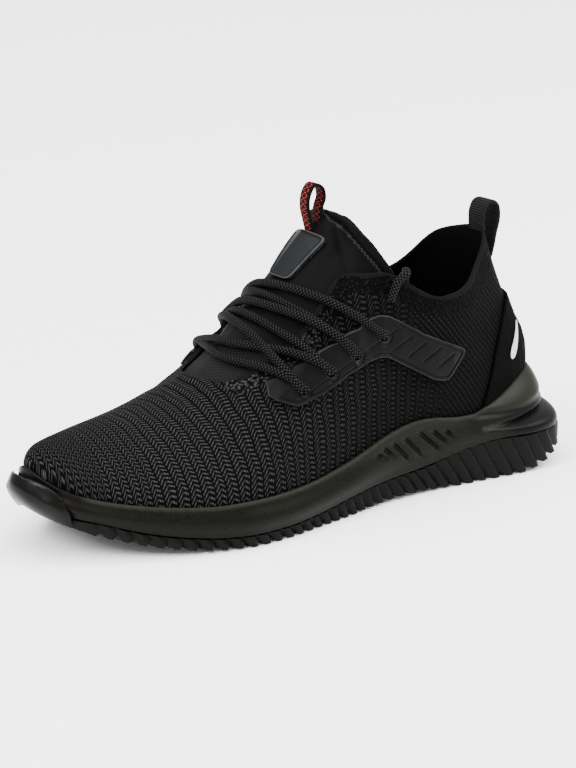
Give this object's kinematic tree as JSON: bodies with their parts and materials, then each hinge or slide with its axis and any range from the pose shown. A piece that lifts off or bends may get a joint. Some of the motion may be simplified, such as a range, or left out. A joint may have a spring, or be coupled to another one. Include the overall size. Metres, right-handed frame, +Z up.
{
  "type": "safety sneaker",
  "caption": "Low knit sneaker for the left foot with a ribbed rubber outsole, foam midsole, heel counter, lace stays, crossed laces and pull loops.",
  "frame": {"origin": "on the floor under the middle of the heel, on the outsole's flat central land, a fifth of the sole's length ahead of its back", "axes": "+X towards the toe, +Y towards the lateral side of this left shoe, +Z up"},
  "size_m": [0.3061, 0.1146, 0.1505],
  "materials": {
    "rubber": "satin black rubber",
    "gloss_rubber": "glossy black rubber",
    "foam": "fine grained dark olive charcoal foam",
    "knit": "coarse black knit",
    "neoprene": "smooth matte black neoprene",
    "moulded_tpu": "matte moulded black",
    "nubuck": "very black nubuck",
    "reflective": "light grey reflective film",
    "badge": "slate grey plaque with a dark rim",
    "webbing": "ribbed black webbing",
    "fleck_webbing": "black webbing with salmon red flecks",
    "lace": "round black cord with grey specks",
    "insole": "black fabric"
  },
  "bodies": {
    "root": {"outsole": "rubber", "midsole": "foam", "toe_bumper": "gloss_rubber", "insole": "insole", "upper": "knit", "tongue": "neoprene", "eyestay_lateral": "moulded_tpu", "eyestay_medial": "moulded_tpu", "heel_counter": "nubuck", "reflective_strip_lateral": "reflective", "reflective_strip_medial": "reflective", "tongue_badge": "badge", "tongue_pull_loop": "fleck_webbing", "heel_pull_loop": "webbing", "lace_crossings": "lace", "lace_end": "lace"}
  },
  "joints": []
}
